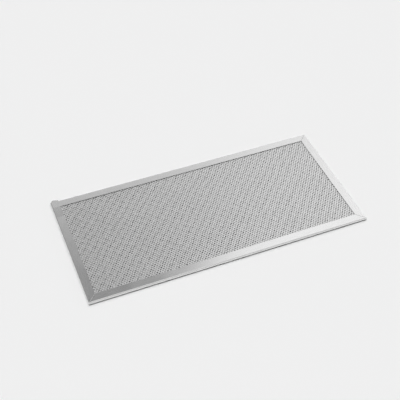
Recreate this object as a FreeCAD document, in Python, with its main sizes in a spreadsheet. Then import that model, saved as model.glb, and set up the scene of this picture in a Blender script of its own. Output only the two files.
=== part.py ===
import FreeCAD, Part
import Sketcher
import math
import os

# A flat metal grease filter for a cooker hood: five layers of expanded aluminium mesh, one on
# another, held in a frame of thin aluminium strip that is folded to a channel.
# +X runs along the filter, +Z through it, and the origin is at the middle of the frame's underside.

doc = FreeCAD.newDocument("grease_filter")

# Driving dimensions, in millimetres and degrees.
SIZES = {
    "frame_length": 500.0,
    "frame_width": 236.0,
    "lip_width": 15.0,
    "strip_gauge": 0.5,
    "fold_radius": 1.5,
    "mitre_gap": 0.3,
    "mitre_bevel": 0.2,
    "tab_overhang": 2.8,
    "tab_cut_back": 2.8,
    "tab_corner": 4.0,
    "tab_ramp": 24.0,
    "tab_foot_gauge": 0.1,
    "layer_height": 0.75,
    "layer_headroom": 0.25,
    "layer_edge_gap": 0.5,
    "pressed_edge": 3.0,
    "strand_width": 0.7,
    "strand_pitch": 4.8,
    "strand_slant": 56.0,
    "strand_lean": 35.0,
}
dims = doc.addObject("Spreadsheet::Sheet", "dims")
for row, (alias, size) in enumerate(SIZES.items(), start=1):
    dims.set(f"A{row}", alias)
    dims.set(f"B{row}", str(size))
    dims.setAlias(f"B{row}", alias)
doc.recompute()

# Sizes that follow from the driving ones. A fold leaves some flat on the channel's web.
LAYER_COUNT = 5
FRAME_HEIGHT = f"(2 * dims.strip_gauge + {LAYER_COUNT} * dims.layer_height + dims.layer_headroom)"
FOLD_INSIDE = f"min(dims.fold_radius; 0.45 * {FRAME_HEIGHT} - dims.strip_gauge)"
FOLD_OUTSIDE = f"({FOLD_INSIDE} + dims.strip_gauge)"
LAYER_INSET = f"({FOLD_OUTSIDE} + dims.layer_edge_gap)"
LAYER_LENGTH = f"(dims.frame_length - 2 * {LAYER_INSET})"
LAYER_WIDTH = f"(dims.frame_width - 2 * {LAYER_INSET})"
LAYER_DIAGONAL = f"sqrt({LAYER_LENGTH} ^ 2 + {LAYER_WIDTH} ^ 2)"


def value(expression):
    """The present value of an expression on the sheet."""
    return float(dims.evalExpression(expression))


def new_body(name):
    body = doc.addObject("PartDesign::Body", name)
    body.Label = name
    return body


def new_sketch(body, name, role="XY_Plane", base=("0", "0", "0"), turn="0"):
    """A sketch on one of the body's origin planes, shifted by expressions and turned in its plane."""
    sketch = body.newObject("Sketcher::SketchObject", name)
    plane = next(item for item in body.Origin.OriginFeatures if item.Role == role)
    sketch.AttachmentSupport = (plane, [""])
    sketch.MapMode = "FlatFace"
    for axis, place in zip("xyz", base):
        sketch.setExpression(f"AttachmentOffset.Base.{axis}", place)
    sketch.setExpression("AttachmentOffset.Rotation.Angle", turn)
    return sketch


def bind(sketch, kind, *ends, to):
    """Add a dimension to a sketch and tie it to an expression."""
    index = sketch.addConstraint(Sketcher.Constraint(kind, *ends, value(to)))
    sketch.setExpression(f"Constraints[{index}]", to)


def line(sketch, start, end):
    """Add a line between two points of a sketch."""
    ends = [FreeCAD.Vector(*point, 0) for point in (start, end)]
    return sketch.addGeometry(Part.LineSegment(*ends))


def arc(sketch, centre, radius, start, turn=math.pi / 2):
    """Add an arc that runs anticlockwise from an angle, for a quarter or another turn."""
    circle = Part.Circle(FreeCAD.Vector(*centre, 0), FreeCAD.Vector(0, 0, 1), radius)
    return sketch.addGeometry(Part.ArcOfCircle(circle, start, start + turn))


def constrain(sketch, rules):
    """Add constraints that need no size."""
    for rule in rules:
        sketch.addConstraint(Sketcher.Constraint(*rule))


def rectangle(sketch, low, high):
    """Add an upright rectangle between two corners, each an (x, y) pair of expressions."""
    left, bottom = [value(place) for place in low]
    right, top = [value(place) for place in high]
    corners = [(left, bottom), (right, bottom), (right, top), (left, top)]
    sides = [line(sketch, corners[k - 1], corners[k]) for k in range(4)]
    constrain(sketch, [("Coincident", sides[k - 1], 2, sides[k], 1) for k in range(4)])
    constrain(sketch, [("Horizontal" if k % 2 else "Vertical", sides[k]) for k in range(4)])
    for side, corner in ((1, low), (3, high)):
        for kind, place in zip(("DistanceX", "DistanceY"), corner):
            bind(sketch, kind, -1, 1, sides[side], 1, to=place)


def centred_rectangle(sketch, length, width):
    """Add a rectangle of two expressions' sizes with its middle at the sketch's origin."""
    rectangle(sketch, (f"-{length} / 2", f"-{width} / 2"), (f"{length} / 2", f"{width} / 2"))


# Frame: one strip of aluminium with both edges folded over to lips, notched and bent round the
# mesh at three corners, and closed at the back left one, where a tab of one lip laps the other.
def channel_section(sketch):
    """Draw the folded strip's section: a web and two lips, with a round fold at each."""
    inside = value(FOLD_INSIDE)
    outside = value(FOLD_OUTSIDE)
    gauge = value("dims.strip_gauge")
    height = value(FRAME_HEIGHT)
    web = -value("dims.frame_width") / 2
    lip = web + value("dims.lip_width")
    fold = web + outside
    top_out = line(sketch, (lip, height), (fold, height))
    web_out = line(sketch, (web, height - outside), (web, outside))
    low_out = line(sketch, (fold, 0), (lip, 0))
    low_end = line(sketch, (lip, 0), (lip, gauge))
    low_in = line(sketch, (lip, gauge), (fold, gauge))
    web_in = line(sketch, (web + gauge, outside), (web + gauge, height - outside))
    top_in = line(sketch, (fold, height - gauge), (lip, height - gauge))
    top_end = line(sketch, (lip, height - gauge), (lip, height))
    top_fold_out = arc(sketch, (fold, height - outside), outside, math.pi / 2)
    top_fold_in = arc(sketch, (fold, height - outside), inside, math.pi / 2)
    low_fold_out = arc(sketch, (fold, outside), outside, math.pi)
    low_fold_in = arc(sketch, (fold, outside), inside, math.pi)
    constrain(sketch, (
        ("Tangent", top_out, 2, top_fold_out, 1),
        ("Tangent", top_fold_out, 2, web_out, 1),
        ("Tangent", web_out, 2, low_fold_out, 1),
        ("Tangent", low_fold_out, 2, low_out, 1),
        ("Coincident", low_out, 2, low_end, 1),
        ("Coincident", low_end, 2, low_in, 1),
        ("Tangent", low_in, 2, low_fold_in, 2),
        ("Tangent", low_fold_in, 1, web_in, 1),
        ("Tangent", web_in, 2, top_fold_in, 2),
        ("Tangent", top_fold_in, 1, top_in, 1),
        ("Coincident", top_in, 2, top_end, 1),
        ("Coincident", top_end, 2, top_out, 1),
        ("Coincident", top_fold_out, 3, top_fold_in, 3),
        ("Coincident", low_fold_out, 3, low_fold_in, 3),
        ("Equal", top_fold_in, low_fold_in),
        ("Equal", top_end, low_end),
        ("Horizontal", top_out),
        ("Horizontal", low_out),
        ("Horizontal", low_in),
        ("Horizontal", top_in),
        ("Vertical", web_out),
        ("Vertical", low_end),
        ("Vertical", top_end),
        ("Vertical", low_end, 1, top_end, 1),
        ("PointOnObject", low_end, 1, -1),
    ))
    bind(sketch, "Radius", low_fold_in, to=FOLD_INSIDE)
    bind(sketch, "DistanceY", low_end, 1, low_end, 2, to="dims.strip_gauge")
    bind(sketch, "DistanceY", -1, 1, top_end, 2, to=FRAME_HEIGHT)
    bind(sketch, "DistanceX", -1, 1, web_out, 1, to="-dims.frame_width / 2")
    bind(sketch, "DistanceX", web_out, 1, low_end, 1, to="dims.lip_width")


def edge_names(feature, wanted):
    """The names of a feature's edges that a test picks out."""
    edges = enumerate(feature.Shape.Edges, start=1)
    return [f"Edge{number}" for number, edge in edges if wanted(edge)]


frame = new_body("frame")
strip_path = new_sketch(frame, "strip_path")
centred_rectangle(strip_path, "dims.frame_length", "dims.frame_width")
strip_section = new_sketch(frame, "strip_section", role="YZ_Plane")
channel_section(strip_section)
folded_strip = frame.newObject("PartDesign::AdditivePipe", "folded_strip")
folded_strip.Profile = strip_section
folded_strip.Spine = strip_path
folded_strip.Transition = "Right corner"

# Each mitre is a slit through both lips, from the window's corner out to the folds. At the closing
# corner it runs on through the web, where the strip's two ends meet.
CORNERS = {"back_left": (-1, 1), "front_left": (-1, -1), "front_right": (1, -1), "back_right": (1, 1)}
CLOSING_CORNER = "back_left"
MITRE_START = f"({FOLD_OUTSIDE} + dims.mitre_gap + dims.mitre_bevel) * sqrt(2)"
MITRE_END = "(dims.lip_width + dims.mitre_gap) * sqrt(2)"
for corner, (side, end) in CORNERS.items():
    inwards = math.degrees(math.atan2(-end, -side)) % 360
    base = (f"{side} * dims.frame_length / 2", f"{end} * dims.frame_width / 2", "0")
    slit = new_sketch(frame, f"{corner}_slit", base=base, turn=str(inwards))
    start = f"-{FOLD_OUTSIDE}" if corner == CLOSING_CORNER else MITRE_START
    rectangle(slit, (start, "-dims.mitre_gap / 2"), (MITRE_END, "dims.mitre_gap / 2"))
    mitre = frame.newObject("PartDesign::Pocket", f"{corner}_mitre")
    mitre.Profile = slit
    mitre.Type = "ThroughAll"
    mitre.Midplane = True
doc.recompute()


def on_mitre_rim(edge):
    """Whether an edge runs along an open mitre on the outer face of a lip."""
    box = edge.BoundBox
    on_face = box.ZMax < 1e-6 or box.ZMin > value(FRAME_HEIGHT) - 1e-6
    diagonal = abs(box.XLength - box.YLength) < 1e-6 and box.XLength > value("dims.lip_width") / 2
    closing = box.XMax < 0 and box.YMin > 0
    return on_face and diagonal and not closing


mitre_bevels = frame.newObject("PartDesign::Chamfer", "mitre_bevels")
mitre_bevels.Base = (mitre, edge_names(mitre, on_mitre_rim))
mitre_bevels.setExpression("Size", "dims.mitre_bevel")

# The tab carries the left lip on over the back lip. It ramps up along the left lip and lies flat at
# the corner, and its end is cut askew, so that only the outer part of it stands past the back edge.
TAB_OUTER = f"{FOLD_OUTSIDE} - dims.frame_length / 2"
TAB_INNER = "dims.lip_width - dims.frame_length / 2"
TAB_FOOT = "dims.frame_width / 2 - dims.lip_width - dims.tab_ramp"
TAB_TIP = "dims.frame_width / 2 + dims.tab_overhang"


def tab_shape(sketch):
    """Draw the tab: square at its foot, and cut askew with a round corner at its free end."""
    left, right, foot, tip = [value(place) for place in (TAB_OUTER, TAB_INNER, TAB_FOOT, TAB_TIP)]
    radius = value("dims.tab_corner")
    cut_back = value("dims.tab_cut_back")
    middle = (left + radius, tip - radius)
    skew = math.atan2(cut_back, right - middle[0])
    end_top = (middle[0] + radius * math.sin(skew), middle[1] + radius * math.cos(skew))
    foot_side = line(sketch, (left, foot), (right, foot))
    inner_side = line(sketch, (right, foot), (right, tip - cut_back))
    end_side = line(sketch, (right, tip - cut_back), end_top)
    corner = arc(sketch, middle, radius, math.pi / 2 - skew, math.pi / 2 + skew)
    outer_side = line(sketch, (left, middle[1]), (left, foot))
    constrain(sketch, (
        ("Coincident", foot_side, 2, inner_side, 1),
        ("Coincident", inner_side, 2, end_side, 1),
        ("Tangent", end_side, 2, corner, 1),
        ("Tangent", corner, 2, outer_side, 1),
        ("Coincident", outer_side, 2, foot_side, 1),
        ("Horizontal", foot_side),
        ("Vertical", inner_side),
        ("Vertical", outer_side),
    ))
    bind(sketch, "DistanceX", -1, 1, foot_side, 1, to=TAB_OUTER)
    bind(sketch, "DistanceY", -1, 1, foot_side, 1, to=TAB_FOOT)
    bind(sketch, "DistanceX", -1, 1, foot_side, 2, to=TAB_INNER)
    bind(sketch, "DistanceY", -1, 1, inner_side, 2, to=f"{TAB_TIP} - dims.tab_cut_back")
    bind(sketch, "DistanceY", -1, 1, corner, 3, to=f"{TAB_TIP} - dims.tab_corner")
    bind(sketch, "Radius", corner, to="dims.tab_corner")


tab_outline = new_sketch(frame, "tab_outline", base=("0", "0", FRAME_HEIGHT))
tab_shape(tab_outline)
tab = frame.newObject("PartDesign::Pad", "closing_tab")
tab.Profile = tab_outline
tab.setExpression("Length", "dims.strip_gauge")
doc.recompute()


def on_tab_foot(edge):
    """Whether an edge is the upper one at the tab's foot on the left lip."""
    box = edge.BoundBox
    top = value(f"{FRAME_HEIGHT} + dims.strip_gauge")
    return box.ZMin > top - 1e-6 and box.YMax < value(TAB_FOOT) + 1e-6


tab_ramp = frame.newObject("PartDesign::Chamfer", "tab_ramp")
tab_ramp.Base = (tab, edge_names(tab, on_tab_foot))
tab_ramp.ChamferType = "Two distances"
tab_ramp.FlipDirection = False
tab_ramp.setExpression("Size", "dims.strip_gauge - dims.tab_foot_gauge")
tab_ramp.setExpression("Size2", "dims.tab_ramp")


# Mesh layers: expanded aluminium, each strand a slat that leans as the expanding twists it.
# A layer's edge is pressed flat where the channel holds it, and each layer's strands cross those
# of the layer below.
def layer_block(name, inset):
    """A plain block over a layer, drawn in from its edge by an expression."""
    block = doc.addObject("Part::Box", name)
    length = f"({LAYER_LENGTH} - 2 * {inset})"
    width = f"({LAYER_WIDTH} - 2 * {inset})"
    block.setExpression("Length", length)
    block.setExpression("Width", width)
    block.setExpression("Height", "dims.layer_height")
    block.setExpression("Placement.Base.x", f"-{length} / 2")
    block.setExpression("Placement.Base.y", f"-{width} / 2")
    return block


def strand_row(name, turn):
    """Leaning strands side by side over a whole layer, turned from +X by an expression."""
    reach = f"({LAYER_LENGTH} * abs(sin({turn})) + {LAYER_WIDTH} * abs(cos({turn}))) / 2"
    each_side = f"floor(({reach} - dims.pressed_edge) / dims.strand_pitch)"
    first = f"-{each_side} * dims.strand_pitch"
    body = new_body(f"{name}_strands")
    foot = new_sketch(body, f"{name}_foot")
    rectangle(
        foot,
        (f"-{LAYER_DIAGONAL} / 2", f"{first} - dims.strand_width / 2"),
        (f"{LAYER_DIAGONAL} / 2", f"{first} + dims.strand_width / 2"),
    )
    strand = body.newObject("PartDesign::Pad", f"{name}_strand")
    strand.Profile = foot
    strand.UseCustomVector = True
    strand.AlongSketchNormal = True
    strand.Direction = FreeCAD.Vector(0, 0, 1)
    strand.setExpression("Direction.y", "tan(dims.strand_lean)")
    strand.setExpression("Length", "dims.layer_height")
    row = body.newObject("PartDesign::LinearPattern", f"{name}_row")
    row.Originals = [strand]
    row.Direction = (foot, ["V_Axis"])
    row.setExpression("Length", f"2 * {each_side} * dims.strand_pitch")
    row.setExpression("Occurrences", f"2 * {each_side} + 1")
    body.Tip = row
    body.setExpression("Placement.Rotation.Angle", turn)
    return body


def mesh_layer(name, turn, level):
    """A layer of strands within its pressed edge, at a level of the pack."""
    middle = layer_block(f"{name}_middle", "dims.pressed_edge")
    edge = doc.addObject("Part::Cut", f"{name}_edge")
    edge.Base = layer_block(f"{name}_outline", "0")
    edge.Tool = middle
    trimmed = doc.addObject("Part::Common", f"{name}_trimmed")
    trimmed.Base = strand_row(name, turn)
    trimmed.Tool = middle
    layer = doc.addObject("Part::Fuse", name)
    layer.Base = edge
    layer.Tool = trimmed
    layer.Refine = False
    layer.setExpression("Placement.Base.z", f"dims.strip_gauge + {level} * dims.layer_height")
    return layer


def mirrored_layer(name, source, levels_up):
    """The mirror image of a layer, end for end, higher up in the pack."""
    layer = doc.addObject("Part::Mirroring", name)
    layer.Source = source
    layer.Normal = FreeCAD.Vector(1, 0, 0)
    layer.setExpression("Placement.Base.z", f"{levels_up} * dims.layer_height")
    return layer


rear_mesh = mesh_layer("rear_mesh", "dims.strand_slant", 0)
inner_mesh_3 = mesh_layer("inner_mesh_3", "(90 + dims.strand_slant)", 1)
inner_mesh_2 = mirrored_layer("inner_mesh_2", rear_mesh, 2)
inner_mesh_1 = mirrored_layer("inner_mesh_1", inner_mesh_3, 2)
front_mesh = mirrored_layer("front_mesh", inner_mesh_2, 2)
doc.recompute()

# Check the whole document, then write one file for each piece.
failed = [item.Name for item in doc.Objects if {"Invalid", "Error"} & set(item.State)]
if failed:
    raise RuntimeError(f"These objects failed: {failed}")
PIECES = [frame, rear_mesh, inner_mesh_3, inner_mesh_2, inner_mesh_1, front_mesh]
for piece in PIECES:
    if piece.Shape.isNull() or not piece.Shape.isValid() or len(piece.Shape.Solids) != 1:
        raise RuntimeError(f"{piece.Label} is not one sound solid")
os.makedirs("parts", exist_ok=True)
for piece in PIECES:
    piece.Shape.exportStep(f"parts/{piece.Label}.step")
    print(f"{piece.Label}: {piece.Shape.Volume:.1f} cubic mm")
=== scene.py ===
import math
import random

import bmesh
import bpy
from mathutils import Matrix, Quaternion, Vector, noise


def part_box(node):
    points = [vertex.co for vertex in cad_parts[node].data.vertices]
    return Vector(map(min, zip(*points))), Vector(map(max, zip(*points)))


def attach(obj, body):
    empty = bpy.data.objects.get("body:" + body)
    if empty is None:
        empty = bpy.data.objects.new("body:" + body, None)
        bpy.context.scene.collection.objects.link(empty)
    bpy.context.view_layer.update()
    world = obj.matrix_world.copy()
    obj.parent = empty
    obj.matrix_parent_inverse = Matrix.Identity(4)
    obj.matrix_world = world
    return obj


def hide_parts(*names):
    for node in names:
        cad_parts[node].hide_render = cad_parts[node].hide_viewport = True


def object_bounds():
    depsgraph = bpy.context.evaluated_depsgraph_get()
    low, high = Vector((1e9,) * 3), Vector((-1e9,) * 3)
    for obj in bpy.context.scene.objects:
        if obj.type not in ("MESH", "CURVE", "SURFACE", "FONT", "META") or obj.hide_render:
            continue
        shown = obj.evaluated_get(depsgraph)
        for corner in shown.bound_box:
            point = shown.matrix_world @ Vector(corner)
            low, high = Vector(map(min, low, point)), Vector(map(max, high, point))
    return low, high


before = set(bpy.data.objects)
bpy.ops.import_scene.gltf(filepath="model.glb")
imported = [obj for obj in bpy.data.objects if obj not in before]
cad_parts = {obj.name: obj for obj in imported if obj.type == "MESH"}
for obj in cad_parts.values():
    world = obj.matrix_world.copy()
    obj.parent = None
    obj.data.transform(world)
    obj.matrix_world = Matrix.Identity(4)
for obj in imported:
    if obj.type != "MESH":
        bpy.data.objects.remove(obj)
cad_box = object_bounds()


# Mesh layers: five sheets of thin aluminium, slit and pulled out to diamonds, so that every strand
# twists. They lie loose on one another with their edges in the frame's channel, and each sheet is
# turned a quarter from the one below so that the strands cross.
DIAMOND_SHORT = 0.00482
DIAMOND_LONG = 0.0068
STRAND_WIDTH = 0.0012
FOIL_GAUGE = 0.0002
LAYER_ROOM = 0.00002
SPARE_ROWS = 4
PULL_WAVE = 0.0008
PULL_WAVE_LENGTH = 0.045
PULL_OCTAVES = 3
PULL_DRIFT = 10
PULL_SEED = 7
# The sheets are all of one foil. The darker tones of the second and inner sheets are painted shade,
# for the shade inside the pack.
FOIL_TONES = {"outer_foil": 0.96, "second_foil_painted_shade": 0.68, "inner_foil_painted_shade": 0.27}
FOIL_DARKEST_SHARE = 0.86
FOIL_DULL = (0.20, 0.32)
FOIL_GRAIN = {"Lines": 900.0, "Stretch": 0.6, "Clouds": 180.0}
# For each layer, the way that its diamonds lie, its degrees askew and its foil, which is darker
# inside the pack as painted shade.
LAYERS = {
    "front_mesh": ("long_way_back", 1.8, "outer_foil"),
    "inner_mesh_1": ("long_way_along", 1.0, "second_foil_painted_shade"),
    "inner_mesh_2": ("long_way_back", -0.7, "inner_foil_painted_shade"),
    "inner_mesh_3": ("long_way_along", 0.6, "inner_foil_painted_shade"),
    "rear_mesh": ("long_way_back", -1.2, "outer_foil"),
}
rng = random.Random(PULL_SEED)
noise.seed_set(PULL_SEED)


def add_node(tree, kind, values=None, links=None, **settings):
    """A node with its settings, its sockets' values, and links from other sockets into it."""
    made = tree.nodes.new(kind)
    for name, setting in settings.items():
        setattr(made, name, setting)
    for socket, value in (values or {}).items():
        made.inputs[socket].default_value = value
    for socket, source in (links or {}).items():
        tree.links.new(source, made.inputs[socket])
    return made


def rolled_metal():
    """Rolling lines along the vector's x, and soft clouds, as shares about a half."""
    tree = bpy.data.node_groups.new("rolled_metal", "ShaderNodeTree")
    tree.interface.new_socket("Vector", in_out="INPUT", socket_type="NodeSocketVector")
    for socket in ("Lines", "Stretch", "Clouds"):
        tree.interface.new_socket(socket, in_out="INPUT", socket_type="NodeSocketFloat")
    for socket in ("Line Share", "Cloud Share"):
        tree.interface.new_socket(socket, in_out="OUTPUT", socket_type="NodeSocketFloat")
    given = tree.nodes.new("NodeGroupInput").outputs
    result = tree.nodes.new("NodeGroupOutput").inputs
    stretched = add_node(
        tree, "ShaderNodeCombineXYZ", {"Y": 1.0, "Z": 1.0}, {"X": given["Stretch"]}
    ).outputs["Vector"]
    along = add_node(
        tree, "ShaderNodeVectorMath", links={0: given["Vector"], 1: stretched}, operation="MULTIPLY"
    ).outputs["Vector"]
    lines = add_node(
        tree,
        "ShaderNodeTexNoise",
        {"Detail": 2.0, "Roughness": 0.6},
        {"Vector": along, "Scale": given["Lines"]},
    )
    clouds = add_node(
        tree,
        "ShaderNodeTexNoise",
        {"Detail": 3.0, "Roughness": 0.55},
        {"Vector": given["Vector"], "Scale": given["Clouds"]},
    )
    tree.links.new(lines.outputs["Fac"], result["Line Share"])
    tree.links.new(clouds.outputs["Fac"], result["Cloud Share"])
    return tree


def new_metal(name):
    """A node material with a metallic shader; also its tree, shader and object coordinates."""
    material = bpy.data.materials.new(name)
    material.use_nodes = True
    tree = material.node_tree
    shader = tree.nodes["Principled BSDF"].inputs
    shader["Metallic"].default_value = 1.0
    place = tree.nodes.new("ShaderNodeTexCoord").outputs["Object"]
    return material, tree, shader, place


def between(tree, share, low, high):
    """A value that runs from low to high as a share runs over its middle half."""
    return add_node(
        tree,
        "ShaderNodeMapRange",
        {"From Min": 0.25, "From Max": 0.75, "To Min": low, "To Max": high},
        {"Value": share},
    ).outputs["Result"]


def grey(tree, level):
    """A neutral colour from a value."""
    return add_node(
        tree, "ShaderNodeCombineColor", links={"Red": level, "Green": level, "Blue": level}
    ).outputs["Color"]


metal_group = rolled_metal()


def foil_finish(name, brightest):
    """Foil whose tone is never quite even along a strand, and a little duller in places; a lower
    brightest tone is painted shade.
    """
    material, tree, shader, place = new_metal(name)
    finish = add_node(
        tree, "ShaderNodeGroup", FOIL_GRAIN, {"Vector": place}, node_tree=metal_group
    ).outputs
    tone = between(tree, finish["Line Share"], FOIL_DARKEST_SHARE * brightest, brightest)
    tree.links.new(grey(tree, tone), shader["Base Color"])
    tree.links.new(between(tree, finish["Cloud Share"], *FOIL_DULL), shader["Roughness"])
    return material


def diamond_grid(middle, half, long_way, askew):
    """A flat net of diamonds, pulled a little unevenly and trimmed to a box; also its short way."""
    along_x, along_y = DIAMOND_SHORT, DIAMOND_LONG
    short_way = Vector((1, 0, 0))
    if long_way == "long_way_along":
        along_x, along_y = DIAMOND_LONG, DIAMOND_SHORT
        short_way = Vector((0, 1, 0))
    bm = bmesh.new()
    count = 2 * math.ceil(half.x / along_x + half.y / along_y) + SPARE_ROWS
    bmesh.ops.create_grid(bm, x_segments=count, y_segments=count, size=count / 2)
    shift = Vector((rng.uniform(0, along_x), rng.uniform(0, along_y), 0))
    on_corner = Matrix.Rotation(math.radians(45), 4, "Z")
    pull = Matrix.Diagonal((along_x / math.sqrt(2), along_y / math.sqrt(2), 1, 1))
    turn = Matrix.Rotation(math.radians(askew), 4, "Z")
    lay = Matrix.Translation(middle + shift) @ turn @ pull @ on_corner
    bmesh.ops.transform(bm, matrix=lay, verts=bm.verts)
    drift = Vector([rng.uniform(0, PULL_DRIFT) for axis in "xyz"])
    for vert in bm.verts:
        wave = noise.turbulence_vector(vert.co / PULL_WAVE_LENGTH + drift, PULL_OCTAVES, False)
        vert.co += PULL_WAVE * Vector((wave.x, wave.y, 0))
    for side in (Vector((1, 0, 0)), Vector((-1, 0, 0)), Vector((0, 1, 0)), Vector((0, -1, 0))):
        bmesh.ops.bisect_plane(
            bm,
            geom=bm.verts[:] + bm.edges[:] + bm.faces[:],
            plane_co=middle + side * abs(side.dot(half)),
            plane_no=side,
            clear_outer=True,
        )
    return bm, turn @ short_way


def expanded_sheet(node, long_way, askew):
    """One sheet in a CAD layer's box: each diamond's edges are inset to strands and tilted."""
    low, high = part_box(node)
    half = (high - low) / 2
    bm, short_way = diamond_grid((low + high) / 2, half, long_way, askew)
    holes = [face for face in bm.faces if not any(vert.is_boundary for vert in face.verts)]
    bmesh.ops.inset_individual(bm, faces=holes, thickness=STRAND_WIDTH / 2, use_even_offset=True)
    twist = half.z - LAYER_ROOM - FOIL_GAUGE / 2
    for hole in holes:
        centre = hole.calc_center_median()
        reach = max(abs((vert.co - centre).dot(short_way)) for vert in hole.verts)
        for vert in hole.verts:
            vert.co.z -= twist * (vert.co - centre).dot(short_way) / reach
    bmesh.ops.delete(bm, geom=holes, context="FACES_ONLY")
    bmesh.ops.solidify(bm, geom=bm.faces[:], thickness=FOIL_GAUGE)
    bmesh.ops.translate(bm, verts=bm.verts, vec=(0, 0, FOIL_GAUGE / 2))
    mesh = bpy.data.meshes.new(f"{node}_sheet")
    bm.to_mesh(mesh)
    bm.free()
    sheet = bpy.data.objects.new(f"{node}_sheet", mesh)
    bpy.context.scene.collection.objects.link(sheet)
    return sheet


# The second and inner foils are darker than the outer one as painted shade inside the pack.
foils = {name: foil_finish(name, brightest) for name, brightest in FOIL_TONES.items()}
for node, (long_way, askew, foil) in LAYERS.items():
    sheet = expanded_sheet(node, long_way, askew)
    sheet.data.materials.append(foils[foil])
    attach(sheet, "root")
    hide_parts(node)


# Frame: one strip of satin aluminium folded to a channel round the layers, with its lips mitred at
# the corners. The strip's rolling lines run along each rail, and turn with it at the mitres.
STRIP_TONE = (0.80, 0.92)
STRIP_DULL = (0.13, 0.18)
STRIP_GRAIN = {"Lines": 1200.0, "Stretch": 0.05, "Clouds": 25.0}
STRIP_RELIEF = {"Strength": 0.05, "Distance": 0.0001}


def along_rails(tree, place):
    """Coordinates whose x runs along each rail: on the end rails, x and y change places."""
    low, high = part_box("frame")
    axes = add_node(tree, "ShaderNodeSeparateXYZ", links={"Vector": place}).outputs

    def from_edge(axis, reach):
        size = add_node(
            tree, "ShaderNodeMath", links={0: axes[axis]}, operation="ABSOLUTE"
        ).outputs["Value"]
        return add_node(
            tree, "ShaderNodeMath", {0: reach}, {1: size}, operation="SUBTRACT"
        ).outputs["Value"]

    # The tab stands past the back edge, so the frame's half width is taken from its front edge.
    on_end_rail = add_node(
        tree,
        "ShaderNodeMath",
        links={0: from_edge("X", high.x), 1: from_edge("Y", -low.y)},
        operation="LESS_THAN",
    ).outputs["Value"]

    def swap(first, second):
        return add_node(
            tree,
            "ShaderNodeMix",
            links={"Factor": on_end_rail, "A": axes[first], "B": axes[second]},
        ).outputs["Result"]

    return add_node(
        tree,
        "ShaderNodeCombineXYZ",
        links={"X": swap("X", "Y"), "Y": swap("Y", "X"), "Z": axes["Z"]},
    ).outputs["Vector"]


def strip_finish():
    """Satin rolled strip, with fine lines along each rail and faint clouding."""
    material, tree, shader, place = new_metal("strip")
    finish = add_node(
        tree,
        "ShaderNodeGroup",
        STRIP_GRAIN,
        {"Vector": along_rails(tree, place)},
        node_tree=metal_group,
    ).outputs
    tone = between(tree, finish["Line Share"], *STRIP_TONE)
    relief = add_node(tree, "ShaderNodeBump", STRIP_RELIEF, {"Height": finish["Line Share"]})
    tree.links.new(grey(tree, tone), shader["Base Color"])
    tree.links.new(between(tree, finish["Cloud Share"], *STRIP_DULL), shader["Roughness"])
    tree.links.new(relief.outputs["Normal"], shader["Normal"])
    return material


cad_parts["frame"].material_slots[0].material = strip_finish()


# Studio: a pale paper floor under a tent of soft panels, which the metal mirrors. The tent is dim at
# the back left and behind the camera, and bright at the right. A box overhead lights only the floor,
# and past the floor the camera sees an even backdrop that is about as bright as the floor.
FLOOR_REACH = 8.0
FLOOR_DROP = 0.0001
FLOOR_TONE = 0.94
FLOOR_ROUGHNESS = 0.9
CONTACT_REACH = 0.002
CONTACT_DEPTH = 1.5
CONTACT_LIGHT = (-0.7, 0.5, 0.5)
UP = (0.0, 0.0, 1.0)
RIGHT = (1.0, 0.0, 0.0)
BACK = (0.0, 1.0, 0.0)
RIGHT_AND_UP = (1.0, 0.0, 1.0)
# Each panel has a name, a direction, where along that direction it starts and is full, and a level.
TENT_PANELS = [
    ("back_glow", UP, 0.82, 0.60, 0.76),
    ("right_wall", RIGHT_AND_UP, 0.978, 1.06, 0.98),
    ("low_back", UP, 0.74, 0.61, 0.80),
    ("back_strip", UP, 0.60, 0.50, 0.88),
    ("left_gap", RIGHT, -0.06, -0.26, 0.32),
    ("ceiling", UP, 0.80, 0.92, 0.80),
    ("front_wall", BACK, 0.0, -0.4, 0.60),
    ("camera_gap", (-0.42, -0.56, 0.71), 0.84, 0.95, 0.22),
    ("left_box", (-0.92, -0.25, 0.30), 0.70, 0.90, 0.96),
    ("right_box", RIGHT, 0.46, 0.60, 1.04),
]
FLOOR_BOX = ("floor_box", (0.0, 0.3, 0.95), 0.60, 0.85, 1.86)
SKIRTING = ("skirting", UP, 0.22, 0.08, 0.60)
ROOM_LEVEL = 0.22
DARK_LEVEL = 0.0
BACKDROP_LEVEL = 0.88


def contact_shade(tree):
    """A share that darkens the floor to the eye close to the part, on the side away from a light."""
    light = add_node(tree, "ShaderNodeCombineXYZ", dict(zip("XYZ", CONTACT_LIGHT))).outputs["Vector"]
    near = add_node(
        tree, "ShaderNodeAmbientOcclusion", {"Distance": CONTACT_REACH}, {"Normal": light}
    ).outputs["AO"]
    deep = add_node(
        tree, "ShaderNodeMath", {1: CONTACT_DEPTH}, {0: near}, operation="POWER"
    ).outputs["Value"]
    seen = add_node(tree, "ShaderNodeLightPath").outputs["Is Camera Ray"]
    return add_node(tree, "ShaderNodeMix", {"A": 1.0}, {"Factor": seen, "B": deep}).outputs["Result"]


def floor_paper():
    """Matt paper with the part's contact shade."""
    material = bpy.data.materials.new("floor_paper")
    material.use_nodes = True
    tree = material.node_tree
    shader = tree.nodes["Principled BSDF"].inputs
    shader["Roughness"].default_value = FLOOR_ROUGHNESS
    shader["Specular IOR Level"].default_value = 0.0
    tone = add_node(
        tree, "ShaderNodeMath", {1: FLOOR_TONE}, {0: contact_shade(tree)}, operation="MULTIPLY"
    ).outputs["Value"]
    tree.links.new(grey(tree, tone), shader["Base Color"])
    return material


def make_floor():
    """A wide sheet just under the part."""
    bm = bmesh.new()
    bmesh.ops.create_grid(bm, x_segments=1, y_segments=1, size=FLOOR_REACH)
    bmesh.ops.translate(bm, verts=bm.verts, vec=(0, 0, cad_box[0].z - FLOOR_DROP))
    mesh = bpy.data.meshes.new("floor")
    bm.to_mesh(mesh)
    bm.free()
    mesh.materials.append(floor_paper())
    floor = bpy.data.objects.new("floor", mesh)
    bpy.context.scene.collection.objects.link(floor)
    return floor


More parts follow.
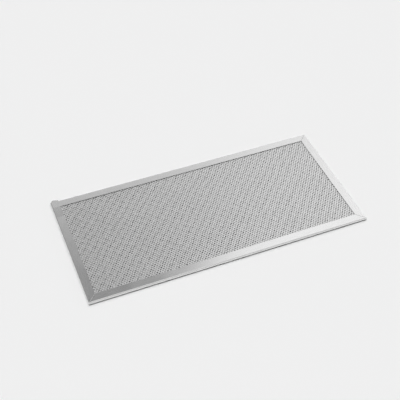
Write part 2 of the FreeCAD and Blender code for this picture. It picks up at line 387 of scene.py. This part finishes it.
def make_tent():
    """Light from all round: each panel fades in over the ones before it towards a direction."""
    world = bpy.data.worlds.new("studio")
    bpy.context.scene.world = world
    world.use_nodes = True
    tree = world.node_tree
    direction = tree.nodes.new("ShaderNodeTexCoord").outputs["Generated"]

    def plain(level):
        made = tree.nodes.new("ShaderNodeValue").outputs["Value"]
        made.default_value = level
        return made

    def panel(under, name, towards, start, full, level):
        facing = add_node(
            tree, "ShaderNodeVectorMath", {1: towards}, {0: direction}, operation="DOT_PRODUCT"
        ).outputs["Value"]
        share = add_node(
            tree,
            "ShaderNodeMapRange",
            {"From Min": start, "From Max": full},
            {"Value": facing},
            interpolation_type="SMOOTHSTEP",
        ).outputs["Result"]
        return add_node(
            tree, "ShaderNodeMix", {"B": level}, {"Factor": share, "A": under}, label=name
        ).outputs["Result"]

    def instead(rays, level, other):
        return add_node(
            tree, "ShaderNodeMix", links={"Factor": rays, "A": level, "B": other}
        ).outputs["Result"]

    path = add_node(tree, "ShaderNodeLightPath").outputs
    light = plain(ROOM_LEVEL)
    for row in TENT_PANELS:
        light = panel(light, *row)
    light = instead(path["Is Diffuse Ray"], light, panel(plain(DARK_LEVEL), *FLOOR_BOX))
    light = panel(light, *SKIRTING)
    light = instead(path["Is Camera Ray"], light, plain(BACKDROP_LEVEL))
    tree.links.new(light, tree.nodes["Background"].inputs["Color"])


make_floor()
make_tent()
bpy.context.scene.view_settings.view_transform = "Standard"


# Camera: above the front left, looking down at the filter's long side.
CAMERA_LENS = 73.5
CAMERA_AIM = Vector((-0.0008, 0.0322, 0.0))
CAMERA_DISTANCE = 1.4472
CAMERA_HEADING = math.radians(22.56)
CAMERA_DIP = math.radians(45.79)
CAMERA_ROLL = math.radians(0.76)
gaze = Vector((
    math.sin(CAMERA_HEADING) * math.cos(CAMERA_DIP),
    math.cos(CAMERA_HEADING) * math.cos(CAMERA_DIP),
    -math.sin(CAMERA_DIP),
))
camera = bpy.data.objects.new("camera", bpy.data.cameras.new("camera"))
bpy.context.scene.collection.objects.link(camera)
camera.data.lens = CAMERA_LENS
camera.location = CAMERA_AIM - CAMERA_DISTANCE * gaze
camera.rotation_mode = "QUATERNION"
camera.rotation_quaternion = gaze.to_track_quat("-Z", "Y") @ Quaternion((0, 0, 1), CAMERA_ROLL)
bpy.context.scene.camera = camera
